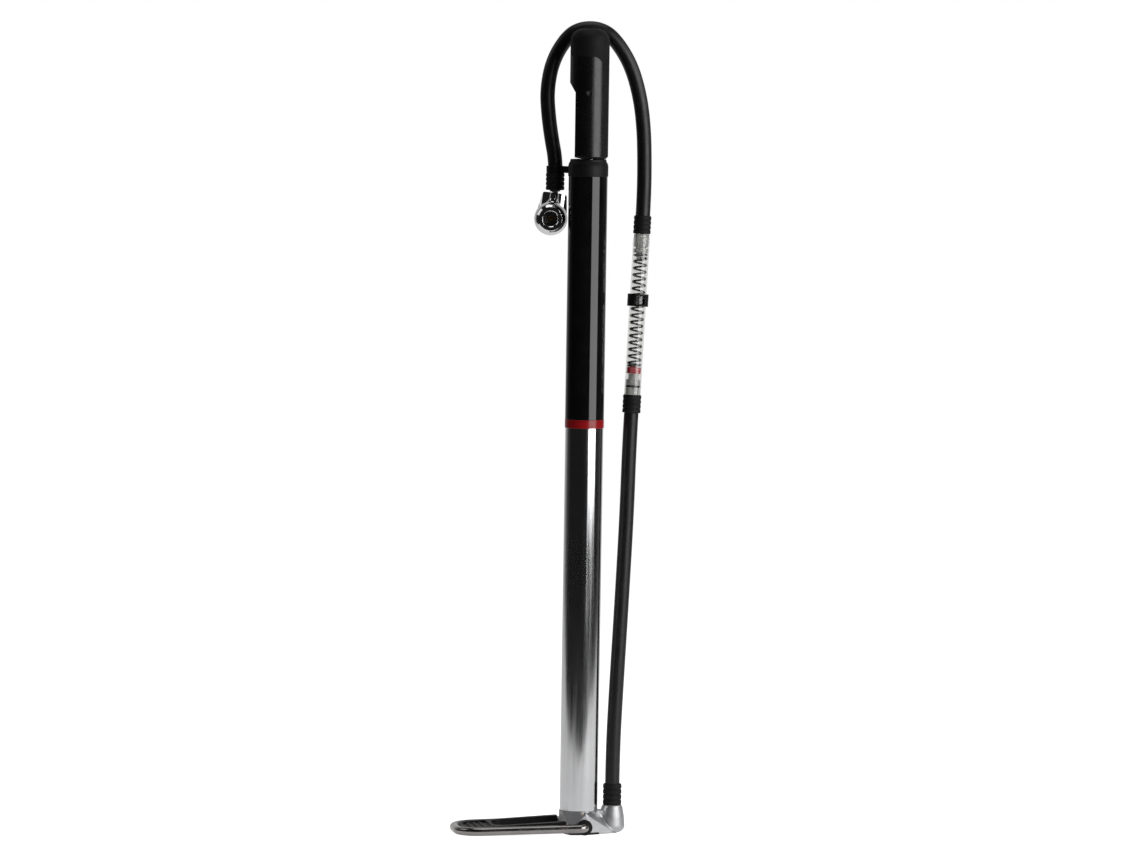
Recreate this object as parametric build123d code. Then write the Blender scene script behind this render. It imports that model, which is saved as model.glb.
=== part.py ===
from build123d import *
from math import asin, cos, degrees, pi, radians, sin, sqrt, tan
import os

# A portable floor pump for bicycle tyres, in millimetres.
# The origin is on the floor under the barrel's axis, +Z is up and the foot loop lies along -X.
# The handle, hose and chuck stand in a plane turned by TURN about Z from the foot's line.
TURN = -10.0

# Barrel
TUBE_R = 12.85
TUBE_BORE = 11.6
TUBE_BOTTOM = 15.2
TUBE_TOP = 452.2
BAND_BOTTOM = 274.9
SLEEVE_BOTTOM = 280.6
SLEEVE_TOP = 444.5
SLEEVE_R = 13.15
COLLAR_R = 13.55
CAP_TOP = 456.3
BUSH_BOTTOM = 436.0

# Rod and piston
ROD_R = 5.0
ROD_BORE = 3.8
ROD_BOTTOM = 44.0
PISTON_BOTTOM = 30.0
SLIDE_GAP = 0.05

# Handle, folded in line with the barrel and pivoted at its middle
HANDLE_R = 13.2
HANDLE_HALF = 43.35
HANDLE_LOW = 44.3
PIVOT_Z = 500.85
PIN_R = 1.8
SLOT_HALF = 5.3
EYE_R = 6.2
EYE_HALF = 4.0
FLAT_X = 9.3

# Base and foot
SOLE_T = 1.2
SOLE_END_X = 12.0
SOCKET_R = 13.4
EAR_Y = 18.8
BOSS_X = 23.0
BOSS_TOP = 18.6
FOOT_X = 1.0
FOOT_Z = 5.3
FOOT_Y = 25.0
FOOT_ROD_R = 2.85
TOE_X = -84.0
TOE_Y = 22.8
TOE_CORNER = 16.0
ELBOW = 3.4
SLOT_END = 60.0
PAD_RISE = 4.6
PAD_FALL = 2.4

# Hose, gauge and chuck
HOSE_R = 4.95
BARB_R = 3.2
SLEEVE_RIB_R = 6.3
GAUGE_FOOT = Vector(32.09, 11.58, 297.0)
GAUGE_HEAD = Vector(37.0, 16.0, 411.0)
GAUGE_R = 5.6
GAUGE_BORE = 4.95
GAUGE_LENGTH = 109.0
LOWER_SLEEVE = 12.4
UPPER_SLEEVE = 12.4
SPRING_FROM = 18.8
SPRING_TO = 96.4
SPRING_R = 4.2
SPRING_WIRE = 0.6
SPRING_TURNS = 18
MARKER_Z = 64.2
CLIP_Z = 448.9
CHUCK = Vector(-24.9, 16.6, 415.5)
CHUCK_LEAN = 7.5
CHUCK_R = 11.3
CAP_FRONT = -14.0
CAP_BACK = -5.4
SEAL_FRONT = -12.0
THREAD_FRONT = -8.5
THREAD_R = 9.4
SEAL_BACK = -5.9
BORE_END = 5.0
SEAL_R = 8.0
LIP_R = 7.0
VALVE_R = 4.1
LEVER_PIN_Y = 11.5
LEVER_PIN_R = 1.0
CAM_R = 2.6
CAM_LIFT = 1.1
BLADE_FRONT = 15.3
BLADE_BEND = 13.0
BLADE_T = 2.2
BLADE_LEAN = 9.0

UPPER = Rot(0, 0, TURN)
GAUGE_AXIS = (GAUGE_HEAD - GAUGE_FOOT).normalized()
GAUGE = UPPER * Plane(GAUGE_FOOT, z_dir=GAUGE_AXIS).location
HEAD = UPPER * Pos(*CHUCK) * Rot(0, CHUCK_LEAN, 0)
HANDLE = UPPER * Pos(0, 0, PIVOT_Z)
FOOT_SLOPE = degrees(asin((FOOT_Z - FOOT_ROD_R) / (FOOT_X - TOE_X)))
FOOT = Pos(FOOT_X, 0, FOOT_Z) * Rot(0, -FOOT_SLOPE, 0)
MIN = (Align.CENTER, Align.CENTER, Align.MIN)


def turned(*outline):
    """A solid of revolution about Z, from its half outline as (radius, height) pairs."""
    points = [(radius, 0, height) for radius, height in outline]
    return revolve(make_face(Polyline(*points, close=True)), Axis.Z)


def ring(outer, inner, bottom, top):
    """An upright ring or short tube."""
    return turned((inner, bottom), (outer, bottom), (outer, top), (inner, top))


def rod(radius, bottom, top):
    """An upright cylinder between two heights."""
    return Pos(0, 0, bottom) * Cylinder(radius, top - bottom, align=MIN)


def crossbar(radius, start, end):
    """A cylinder along Y between two places."""
    return Pos(0, start, 0) * Rot(-90, 0, 0) * Cylinder(radius, end - start, align=MIN)


def box(low, high):
    """A box between its lowest and highest corners."""
    size = [b - a for a, b in zip(low, high)]
    return Pos(*low) * Box(*size, align=(Align.MIN, Align.MIN, Align.MIN))


def trimmed_above(shape, *points):
    """The part of a shape under the plane through three points."""
    a, b, c = [Vector(point) for point in points]
    normal = (b - a).cross(c - a)
    if normal.Z < 0:
        normal = -normal
    return split(shape, Plane(a, z_dir=normal), keep=Keep.BOTTOM)


def spring(radius, wire, bottom, top, turns):
    """An open coil spring, upright."""
    height = top - bottom - 2 * wire
    path = Pos(0, 0, bottom + wire) * Helix(height / turns, height, radius)
    section = Plane(path @ 0, z_dir=path % 0) * Circle(wire)
    return sweep(section, path, is_frenet=True)


def ribbed_sleeve(length, end_r, rib_r, ribs):
    """A hose sleeve with rounded ribs, bored for its barb, standing on the origin."""
    pitch = length / ribs
    body = ring(end_r, BARB_R, 0, length)
    for i in range(ribs):
        body += Pos(0, 0, (i + 0.5) * pitch) * turned(
            (BARB_R, -0.36 * pitch), (end_r, -0.36 * pitch), (rib_r, -0.16 * pitch),
            (rib_r, 0.16 * pitch), (end_r, 0.36 * pitch), (BARB_R, 0.36 * pitch))
    return body


def hose(name, route):
    """A round hose along straight runs joined by arcs as large as its runs allow."""
    points = [Vector(point) for point in route]
    radii = []
    for before, corner, after in zip(points, points[1:], points[2:]):
        turn = radians((corner - before).get_angle(after - corner))
        run = min((corner - before).length, (after - corner).length)
        radii.append(0.45 * run / tan(turn / 2))
    path = FilletPolyline(*points, radius=radii)
    body = sweep(Plane(path @ 0, z_dir=path % 0) * Circle(HOSE_R), path)
    print(name, "arc radii", [round(radius, 1) for radius in radii])
    print(name, "length", round(path.length, 1), "volume ratio",
          round(body.volume / (pi * HOSE_R**2 * path.length), 4))
    return UPPER * body


# ---------------------------------------------------------------- base


def base_casting():
    """The foot casting: tube seat, hose boss, pivot ears and the webs between them."""
    seat = turned((0, 0), (SOCKET_R - 0.6, 0), (SOCKET_R, 0.8), (SOCKET_R - 0.4, TUBE_BOTTOM),
                  (TUBE_BORE - SLIDE_GAP, TUBE_BOTTOM), (TUBE_BORE - SLIDE_GAP, 25.0),
                  (TUBE_BORE - 1.2, 26.0), (0, 26.0))
    with BuildLine(Plane.XZ) as outline:
        Line((0, 0), (4.8, 0))
        ThreePointArc((4.8, 0), (7.8, 1.8), (8.7, 5.2))
        Line((8.7, 5.2), (8.3, 10.8))
        Line((8.3, 10.8), (7.2, 17.0))
        Line((7.2, 17.0), (6.4, BOSS_TOP))
        Line((6.4, BOSS_TOP), (0, BOSS_TOP))
        Line((0, BOSS_TOP), (0, 0))
    boss = Pos(BOSS_X, 0, 0) * revolve(make_face(outline.line), Axis.Z)
    web = Polyline((-12.5, 0), (-12.5, -6), (-8, -EAR_Y), (3, -EAR_Y), (26, -7.4), (26, 0),
                   close=True)
    web = extrude(make_face(web), 15.0, dir=(0, 0, 1))
    ridge = (2.2, -EAR_Y, 14.4)
    web = trimmed_above(web, ridge, (20, -9.6, 3.2), (13.5, 0, 15.0))
    web = trimmed_above(web, ridge, (-8, -EAR_Y, 4.5), (-10, -9, 15.0))
    web += mirror(web, Plane.XZ)
    bridge = box((0, -4.6, 4), (BOSS_X, 4.6, 15.2))
    body = seat + boss + web + bridge
    body -= box((-30, -30, -1), (SOLE_END_X, 30, SOLE_T))
    for side in (-1, 1):
        start, end = sorted((side * 14.2, side * 30))
        body -= Pos(FOOT_X, 0, FOOT_Z) * crossbar(FOOT_ROD_R + SLIDE_GAP, start, end)
        body -= Pos(FOOT_X, side * 16.4, FOOT_Z) * Cylinder(1.5, 20, align=MIN)
    body -= rod(2.6, 7.0, 30)
    body -= Pos(0, 0, 7.0) * Rot(0, 90, 0) * Cylinder(2.0, BOSS_X, align=MIN)
    body -= Pos(BOSS_X, 0, 0) * rod(1.9, 6.0, 10)
    body -= Pos(BOSS_X, 0, 0) * rod(4.2, 8.0, 20)
    body -= ring(12.5, 9.7, 20.0, 22.0)
    return body


def base_sole():
    """The rubber sole under the tube seat and the pivot ears."""
    wide = EAR_Y - 0.1
    half = Polyline((-13.2, 0), (-13.2, -6), (-8.6, -wide), (3, -wide), (SOLE_END_X, -14.4),
                    (SOLE_END_X, 0), close=True)
    half = extrude(make_face(half), SOLE_T, dir=(0, 0, 1))
    return half + mirror(half, Plane.XZ)


def seat_seal():
    """The ring seal between the casting and the tube."""
    return Pos(0, 0, 21.0) * Torus(10.66, 0.92)


def check_seat():
    return Pos(BOSS_X, 0, 0) * ring(4.2, 1.6, 8.0, 10.0)


BALL_R = 2.4
BALL_Z = 10.0 + sqrt(BALL_R**2 - 1.6**2) + 0.05


def check_ball():
    return Pos(BOSS_X, 0, BALL_Z) * Sphere(BALL_R)


def check_spring():
    return Pos(BOSS_X, 0, 0) * spring(1.55, 0.2, BALL_Z + 1.95, 16.3, 2.5)


def base_barb():
    """The nipple that closes the valve chamber and carries the hose."""
    flange = ring(4.2, 1.2, 16.3, BOSS_TOP)
    return Pos(BOSS_X, 0, 0) * (flange + ring(BARB_R, 1.2, BOSS_TOP, 31.5))


def base_hose_sleeve():
    return Pos(BOSS_X, 0, BOSS_TOP) * ribbed_sleeve(14.4, 5.75, SLEEVE_RIB_R, 4)


# ---------------------------------------------------------------- foot


def foot_rod():
    """The bent steel loop; its two ends turn in to the pivot ears."""
    reach = (FOOT_X - TOE_X) / cos(radians(FOOT_SLOPE))
    points = [(0, -14.6, 0), (0, -FOOT_Y, 0), (-reach, -TOE_Y, 0),
              (-reach, TOE_Y, 0), (0, FOOT_Y, 0), (0, 14.6, 0)]
    path = FilletPolyline(*points, radius=[ELBOW, TOE_CORNER, TOE_CORNER, ELBOW])
    section = Plane(path @ 0, z_dir=path % 0) * Circle(FOOT_ROD_R)
    return FOOT * sweep(section, path)


def foot_pad():
    """The moulded tread inside the loop, open towards the barrel so that the foot can fold."""
    reach = (FOOT_X - TOE_X) / cos(radians(FOOT_SLOPE))
    inset = FOOT_ROD_R + 0.05
    slope = (FOOT_Y - TOE_Y) / reach
    start = 12.5
    wide = FOOT_Y - inset - slope * start
    narrow = TOE_Y - inset
    outer = Polyline((-start, -wide), (-reach + inset, -narrow), (-reach + inset, narrow),
                     (-start, wide), close=True)
    face = make_face(outer)
    toe = face.vertices().sort_by(Axis.X)[:2]
    face = fillet(toe, TOE_CORNER - inset)
    slot = Pos(-start, 0) * Rectangle(2 * (SLOT_END - start), 31.0)
    corners = slot.vertices().sort_by(Axis.X)[:2]
    face -= fillet(corners, 9.0)
    pad = Pos(0, 0, -2.0) * extrude(face, PAD_RISE + 2.0, dir=(0, 0, 1))
    pad = trimmed_above(pad, (-start, 0, PAD_RISE), (-start, 10, PAD_RISE), (-reach, 0, PAD_RISE - PAD_FALL))
    top = pad.faces().sort_by(Axis.Z)[-1]
    return FOOT * fillet(top.edges(), 1.0)


def foot_washers():
    """The two thick washers between the ears and the loop."""
    washer = crossbar(FOOT_Z, EAR_Y, FOOT_Y - ELBOW - 0.05)
    washer -= crossbar(FOOT_ROD_R + SLIDE_GAP, EAR_Y - 1, FOOT_Y)
    washer = fillet(washer.edges().filter_by(GeomType.CIRCLE).sort_by(Edge.length)[-2:], 0.8)
    washer = Pos(FOOT_X, 0, FOOT_Z) * washer
    return Compound([washer, mirror(washer, Plane.XZ)])


def foot_set_screws():
    """The brass grub screws over the loop's ends."""
    screw = rod(1.5, FOOT_ROD_R + 0.3, 8.6) - Pos(0, 0, 7.6) * Box(0.5, 4, 3)
    return Compound([Pos(FOOT_X, side * 16.4, FOOT_Z) * screw for side in (-1, 1)])


# ---------------------------------------------------------------- barrel


def barrel_tube():
    return ring(TUBE_R, TUBE_BORE, TUBE_BOTTOM, TUBE_TOP)


def barrel_sleeve():
    return ring(SLEEVE_R, TUBE_R, SLEEVE_BOTTOM, SLEEVE_TOP)


def red_band():
    return ring(SLEEVE_R + 0.08, TUBE_R, BAND_BOTTOM, SLEEVE_BOTTOM)


def barrel_cap():
    """The screwed gland at the top of the tube."""
    return turned((7.4, BUSH_BOTTOM), (TUBE_BORE - SLIDE_GAP, BUSH_BOTTOM),
                  (TUBE_BORE - SLIDE_GAP, TUBE_TOP), (13.3, TUBE_TOP), (13.3, TUBE_TOP + 0.8),
                  (12.4, TUBE_TOP + 2.4), (12.1, CAP_TOP), (8.2, CAP_TOP), (8.2, 451.5), (7.4, 451.5))


def rod_bush():
    return ring(7.4, ROD_R + SLIDE_GAP, BUSH_BOTTOM, 450.5)


def rod_wiper():
    return turned((ROD_R + SLIDE_GAP, 451.5), (8.2, 451.5), (8.2, CAP_TOP - 0.6), (7.4, CAP_TOP),
                  (ROD_R + SLIDE_GAP, CAP_TOP - 0.3))


def hose_clip():
    """The collar round the tube's top, with the arm and open ring that hold the hose."""
    collar = ring(COLLAR_R, TUBE_R, SLEEVE_TOP + 0.2, TUBE_TOP)
    hook = Pos(*HOSE_CLIP_AT, CLIP_Z - 2.4)
    reach = sqrt(HOSE_CLIP_AT[0]**2 + HOSE_CLIP_AT[1]**2)
    aim = degrees(asin(HOSE_CLIP_AT[1] / reach))
    arm = Rot(0, 0, 180 - aim) * box((TUBE_R + 0.3, -2.1, CLIP_Z - 2.4), (reach - 5.4, 2.1, CLIP_Z + 2.2))
    loop = Cylinder(HOSE_R + 1.15, 4.6, align=MIN)
    mouth = Rot(0, 0, 180 - aim) * box((1.5, -4.2, -1), (12, 4.2, 6))
    loop = hook * (loop - mouth) - hook * Cylinder(HOSE_R + SLIDE_GAP, 30)
    return UPPER * (collar + arm + loop)


# ---------------------------------------------------------------- rod and piston


def piston_rod():
    return ring(ROD_R, ROD_BORE, ROD_BOTTOM, 493.0)


def piston():
    body = rod(TUBE_BORE - 0.3, PISTON_BOTTOM, ROD_BOTTOM) + rod(ROD_BORE, ROD_BOTTOM, 54)
    return body - ring(12, 9.0, 33.0, 37.5) - rod(1.9, 20, 47)


def piston_cup():
    return turned((9.0, 33.0), (TUBE_BORE - SLIDE_GAP, 33.0), (TUBE_BORE - SLIDE_GAP, 34.2),
                  (10.6, 37.5), (9.0, 37.5))


def piston_bolt():
    return rod(3.5, 28.0, PISTON_BOTTOM) + rod(1.9, PISTON_BOTTOM, 46)


def rod_bumper():
    return ring(8.5, ROD_R, ROD_BOTTOM, 48.0)


def rod_eye():
    """The flattened eye on the rod, bored for the handle's pin."""
    eye = rod(ROD_R, 493.0 - PIVOT_Z, 0) & Box(20, 2 * EYE_HALF, 40)
    eye += crossbar(EYE_R, -EYE_HALF, EYE_HALF) + rod(ROD_BORE, 480 - PIVOT_Z, 493 - PIVOT_Z)
    return HANDLE * (eye - crossbar(PIN_R + SLIDE_GAP, -20, 20))


# ---------------------------------------------------------------- handle


def handle_outline():
    """The whole handle's outside: a round bar, domed on top and arched about its pivot below."""
    bar = rod(HANDLE_R, -HANDLE_LOW, HANDLE_HALF)
    ends = bar.edges().filter_by(GeomType.CIRCLE).sort_by(Axis.Z)
    bar = fillet(ends[-1], 8.5)
    bar = chamfer(bar.edges().filter_by(GeomType.CIRCLE).sort_by(Axis.Z)[0], 1.6)
    bar -= box((-20, -20, -50), (0, 20, -36)) - crossbar(HANDLE_LOW, -25, 25)
    relief = Polyline((-20, 0, 7.0), (-HANDLE_R, 0, 7.0), (-FLAT_X, 0, 0.4),
                      (-FLAT_X, 0, -50), (-20, 0, -50), close=True)
    return bar - extrude(make_face(relief), 20, both=True)


def grip_zone():
    """The region of the soft grip: the domed end and a strip down the closed side."""
    window = Pos(-15.5, -37.65) * Rectangle(50, 124.7)
    corner = window.vertices().sort_by(Axis.Y)[-2:].sort_by(Axis.X)[-1]
    window = fillet(corner, 8.0)
    window = Plane.XZ * window
    everything = Box(60, 60, 200)
    return everything - extrude(window, 40, both=True)


def handle_slot():
    """The space that the rod lies in, from straight down round to the open side."""
    slot = box((-20, -SLOT_HALF, -60), (SLOT_HALF + 0.1, SLOT_HALF, SLOT_HALF + 0.1))
    return slot + crossbar(EYE_R + 0.4, -SLOT_HALF, SLOT_HALF)


def handle_core():
    """The hard body of the handle, under and beside the soft grip."""
    shell = grip_zone() - rod(HANDLE_R - 1.4, -60, 35.0)
    core = handle_outline() - shell - handle_slot()
    return HANDLE * (core - crossbar(PIN_R, -20, 20))


def handle_grip():
    """The soft grip, moulded flush over the core's end and closed side."""
    grip = handle_outline() & grip_zone()
    return HANDLE * (grip - rod(HANDLE_R - 1.4, -60, 35.0))


def handle_pin():
    return HANDLE * crossbar(PIN_R, -11.9, 11.9)


def handle_washers():
    washers = [crossbar(5.6, side * 4.65 - 0.6, side * 4.65 + 0.6) for side in (-1, 1)]
    return HANDLE * Compound([w - crossbar(PIN_R + SLIDE_GAP, -9, 9) for w in washers])


# ---------------------------------------------------------------- hose and gauge

BASE_U = BOSS_X * cos(radians(TURN))
BASE_V = -BOSS_X * sin(radians(TURN))
GAUGE_IN = GAUGE_FOOT - GAUGE_AXIS * LOWER_SLEEVE
GAUGE_OUT = GAUGE_FOOT + GAUGE_AXIS * (GAUGE_LENGTH + UPPER_SLEEVE)
HOSE_CLIP_AT = (-22.4, 16.6)

LOWER_ROUTE = [
    (BASE_U, BASE_V, 33.0), (BASE_U, BASE_V, 55.0), (24.0, 5.0, 92.0), (27.0, 7.3, 155.0),
    (29.6, 9.4, 217.0), tuple(GAUGE_IN - GAUGE_AXIS * 24.0), tuple(GAUGE_IN)]

UPPER_ROUTE = [
    tuple(GAUGE_OUT), tuple(GAUGE_OUT + GAUGE_AXIS * 14.0), (37.9, 18.2, 455.0),
    (37.1, 19.2, 477.0), (34.2, 19.4, 499.0), (27.5, 19.4, 521.0), (15.7, 19.4, 538.6),
    (5.9, 19.4, 544.3), (-5.9, 19.4, 544.3), (-15.4, 19.4, 538.9), (-25.3, 19.4, 522.5),
    (-28.9, 19.4, 502.5), (-27.6, 19.2, 485.0), (-25.2, 18.5, 469.0), (-22.4, 16.6, 455.2),
    (-22.4, 16.6, 446.4)]


def lower_hose():
    return hose("lower_hose", LOWER_ROUTE)


def upper_hose():
    return hose("upper_hose", UPPER_ROUTE)


def gauge_lower_sleeve():
    return GAUGE * Pos(0, 0, -LOWER_SLEEVE) * ribbed_sleeve(LOWER_SLEEVE, 5.7, 6.2, 4)


def gauge_upper_sleeve():
    return GAUGE * Pos(0, 0, GAUGE_LENGTH) * ribbed_sleeve(UPPER_SLEEVE, 5.4, 5.9, 4)


def gauge_tube():
    return GAUGE * ring(GAUGE_R, GAUGE_BORE, 0, GAUGE_LENGTH)


def gauge_lower_plug():
    """The lower end plug: a barb in the hose, a head in the tube and a hollow stem."""
    body = rod(BARB_R, -9, 0) + rod(GAUGE_BORE, 0, 4.9) + rod(3.0, 4.9, 6.5)
    body += rod(GAUGE_BORE, 6.5, 10.4) + rod(3.4, 10.4, 14.2)
    return GAUGE * (body - rod(1.2, -20, 20))


def gauge_seal():
    return GAUGE * ring(GAUGE_BORE, 3.0, 5.0, 6.4)


def gauge_upper_plug():
    """The upper end plug, which the spring bears on."""
    top = GAUGE_LENGTH
    body = rod(GAUGE_BORE, 100.3, top) + rod(3.6, 99.0, 100.3) + rod(GAUGE_BORE, SPRING_TO, 99.0)
    body += rod(2.6, SPRING_TO - 6, SPRING_TO) + rod(BARB_R, top, top + 11)
    return GAUGE * (body - rod(1.2, 80, 130))


def gauge_piston():
    """The red indicator piston."""
    return GAUGE * (rod(GAUGE_BORE - SLIDE_GAP, 14.4, 18.7) + rod(2.4, 18.7, 19.8))


def gauge_spring():
    return GAUGE * spring(SPRING_R, SPRING_WIRE, SPRING_FROM, SPRING_TO, SPRING_TURNS)


def gauge_marker():
    """The sliding marker on the gauge's tube, with a window on its front."""
    body = ring(7.1, GAUGE_R + SLIDE_GAP, -4.2, 4.2)
    body -= box((-2.4, -12, -2.9), (4.6, -2, 2.9))
    return GAUGE * Pos(0, 0, MARKER_Z) * body


# ---------------------------------------------------------------- chuck


def head_hose_sleeve():
    return UPPER * Pos(-22.4, 16.6, 434.6) * ribbed_sleeve(11.8, 5.8, SLEEVE_RIB_R, 4)


def head_barb():
    """The nipple between the hose and the chuck."""
    body = rod(BARB_R, 434.6, 445.0) + rod(3.6, 433.7, 434.6) + rod(2.2, 430.6, 433.7)
    return UPPER * Pos(-22.4, 16.6, 0) * (body - rod(1.2, 430.0, 450))


def head_body():
    """The chuck's body across the hose, with its flared neck and the lever's lugs."""
    body = crossbar(10.7, CAP_BACK, 7.6)
    body = fillet(body.edges().filter_by(GeomType.CIRCLE).sort_by(Axis.Y)[-1], 2.0)
    neck = turned((0, 0), (5.4, 0), (5.2, 9.6), (3.4, 12.0), (2.9, 13.6), (2.9, 17.4), (0, 17.4))
    lug = Pos(-6.7, 0, 0) * box((0, 7.0, -3.3), (3.4, LEVER_PIN_Y, 3.3))
    lug += Pos(-6.7, LEVER_PIN_Y, 0) * Rot(0, 90, 0) * Cylinder(3.3, 3.4, align=MIN)
    body += crossbar(THREAD_R, THREAD_FRONT, CAP_BACK) + neck + lug + mirror(lug, Plane.YZ)
    body -= crossbar(SEAL_R, -20, BORE_END) + crossbar(3.05, 0, 20) + rod(1.2, 6.0, 16.0)
    body -= Pos(-20, LEVER_PIN_Y, 0) * Rot(0, 90, 0) * Cylinder(LEVER_PIN_R, 40, align=MIN)
    return HEAD * body - head_barb()


def head_cap():
    """The screwed front ring that holds the seal."""
    front, back = -CAP_FRONT, -CAP_BACK
    body = turned((LIP_R, front), (7.9, front - 0.1), (9.8, front - 2.1), (10.9, back + 3.0),
                  (CHUCK_R, back + 0.6), (CHUCK_R, back), (THREAD_R, back), (THREAD_R, -THREAD_FRONT),
                  (SEAL_R, -THREAD_FRONT), (SEAL_R, -SEAL_FRONT), (LIP_R, -SEAL_FRONT))
    return HEAD * Rot(90, 0, 0) * body


def valve_seal():
    """The rubber seal that grips the tyre's valve."""
    front = -CAP_FRONT
    outline = [(VALVE_R, -SEAL_BACK), (SEAL_R, -SEAL_BACK), (SEAL_R, -SEAL_FRONT),
               (LIP_R, -SEAL_FRONT), (LIP_R, front), (6.5, front + 0.5), (5.2, front + 0.5),
               (VALVE_R, front - 0.8)]
    return HEAD * Rot(90, 0, 0) * turned(*outline)


def head_plunger():
    """The plunger that the lever drives against the seal."""
    body = crossbar(SEAL_R - SLIDE_GAP, SEAL_BACK + 1.7, BORE_END - 1.8)
    body += crossbar(3.0, 0, LEVER_PIN_Y - CAM_R - 0.1)
    return HEAD * (body - crossbar(4.4, -6, -1.0) - crossbar(1.0, -2, 3.9))


def depressor_pin():
    """The pin that opens a valve's core."""
    return HEAD * (crossbar(1.0, SEAL_BACK + 0.2, 3.9) + crossbar(2.2, -1.8, -1.0))


def head_lever():
    """The thumb lever: two cheeks on the pin, a cam between them and a flared, bowed blade."""
    outline = Polyline((-10.2, -3.2), (10.2, -3.2), (10.2, 4.0), (8.2, 17.2), (-8.2, 17.2),
                       (-10.2, 4.0), close=True)
    outline = make_face(outline)
    outline = Plane.XZ * fillet(outline.vertices(), 1.5)
    bend = Pos(0, BLADE_FRONT + BLADE_BEND, 0)
    blade = extrude(outline, 40, both=True)
    blade &= bend * (Cylinder(BLADE_BEND, 60) - Cylinder(BLADE_BEND - BLADE_T, 60))
    blade &= box((-20, 0, -20), (20, BLADE_FRONT + BLADE_BEND, 40))
    blade = Pos(0, BLADE_FRONT, 0) * Rot(-BLADE_LEAN, 0, 0) * Pos(0, -BLADE_FRONT, 0) * blade
    cheek = Pos(6.95, 0, 0) * box((0, LEVER_PIN_Y, -2.8), (2.0, BLADE_FRONT + 4.2, 2.8))
    cheek += Pos(6.95, LEVER_PIN_Y, 0) * Rot(0, 90, 0) * Cylinder(3.0, 2.0, align=MIN)
    cam = Pos(-3.0, LEVER_PIN_Y, -CAM_LIFT) * Rot(0, 90, 0) * Cylinder(CAM_R, 6.0, align=MIN)
    cam += box((-3.0, LEVER_PIN_Y, -2.9), (3.0, LEVER_PIN_Y + 4.5, 1.0))
    lever = blade + cheek + mirror(cheek, Plane.YZ) + cam
    hole = Rot(0, 90, 0) * Cylinder(LEVER_PIN_R + SLIDE_GAP, 40, align=MIN)
    return HEAD * (lever - Pos(-20, LEVER_PIN_Y, 0) * hole)


def lever_pin():
    return HEAD * Pos(-9.6, LEVER_PIN_Y, 0) * Rot(0, 90, 0) * Cylinder(LEVER_PIN_R, 19.2, align=MIN)


NODES = [
    base_casting, base_sole, seat_seal, check_seat, check_ball, check_spring, base_barb,
    base_hose_sleeve, foot_rod, foot_pad, foot_washers, foot_set_screws, barrel_tube,
    barrel_sleeve, red_band, barrel_cap, rod_bush, rod_wiper, hose_clip, piston_rod, piston,
    piston_cup, piston_bolt, rod_bumper, rod_eye, handle_core, handle_grip, handle_pin,
    handle_washers, lower_hose, gauge_lower_sleeve, gauge_lower_plug, gauge_seal, gauge_tube,
    gauge_piston, gauge_spring, gauge_marker, gauge_upper_plug, gauge_upper_sleeve, upper_hose,
    head_hose_sleeve, head_barb, head_body, head_cap, valve_seal, head_plunger, depressor_pin,
    head_lever, lever_pin]

os.makedirs("parts", exist_ok=True)
for node in NODES:
    export_step(node(), f"parts/{node.__name__}.step")
print(len(NODES), "nodes written")
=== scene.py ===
"""Looks of the floor bike pump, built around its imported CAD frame. +Z is up.

Shapes are made in millimetres in their own upright frames, then placed in the row frame in metres.
"""

import math

import bmesh
import bpy
from mathutils import Matrix, Vector


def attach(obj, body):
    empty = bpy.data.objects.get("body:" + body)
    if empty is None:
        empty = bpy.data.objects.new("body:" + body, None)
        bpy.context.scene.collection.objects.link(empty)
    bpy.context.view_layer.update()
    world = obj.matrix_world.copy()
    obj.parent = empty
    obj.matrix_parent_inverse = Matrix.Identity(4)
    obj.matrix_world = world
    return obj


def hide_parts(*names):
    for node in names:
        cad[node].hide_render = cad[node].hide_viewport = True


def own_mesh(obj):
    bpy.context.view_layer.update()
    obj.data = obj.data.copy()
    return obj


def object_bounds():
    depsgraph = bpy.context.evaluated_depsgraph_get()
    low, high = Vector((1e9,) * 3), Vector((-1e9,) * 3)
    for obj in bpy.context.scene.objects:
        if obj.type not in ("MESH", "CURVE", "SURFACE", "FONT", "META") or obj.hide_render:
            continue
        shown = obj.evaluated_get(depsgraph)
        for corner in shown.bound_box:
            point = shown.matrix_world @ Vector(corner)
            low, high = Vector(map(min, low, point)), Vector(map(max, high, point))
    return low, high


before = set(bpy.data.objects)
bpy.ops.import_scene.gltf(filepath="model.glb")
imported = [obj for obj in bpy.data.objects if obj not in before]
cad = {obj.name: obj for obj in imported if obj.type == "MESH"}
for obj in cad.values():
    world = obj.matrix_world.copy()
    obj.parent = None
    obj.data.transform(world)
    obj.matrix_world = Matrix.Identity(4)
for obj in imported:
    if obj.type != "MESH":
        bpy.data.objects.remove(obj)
cad_low, cad_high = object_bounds()
scene = bpy.context.scene

MM = 0.001
IN_METRES = Matrix.Scale(MM, 4)

# The CAD's own placing dimensions, in millimetres and degrees
TURN = -10.0
CHUCK = Vector((-24.9, 16.6, 415.5))
CHUCK_LEAN = 7.5
SLEEVE_AT = Vector((-22.4, 16.6, 434.6))
GAUGE_FOOT = Vector((32.09, 11.58, 297.0))
GAUGE_HEAD = Vector((37.0, 16.0, 411.0))
GAUGE_LENGTH = 109.0
LOWER_SLEEVE = 12.4
UPPER_SLEEVE = 12.4
BOSS_X = 23.0
BOSS_TOP = 18.6
FOOT_X = 1.0
FOOT_Z = 5.3
FOOT_ROD_R = 2.85
TOE_X = -84.0
HOSE_R = 4.95
BARB_R = 3.2

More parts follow.
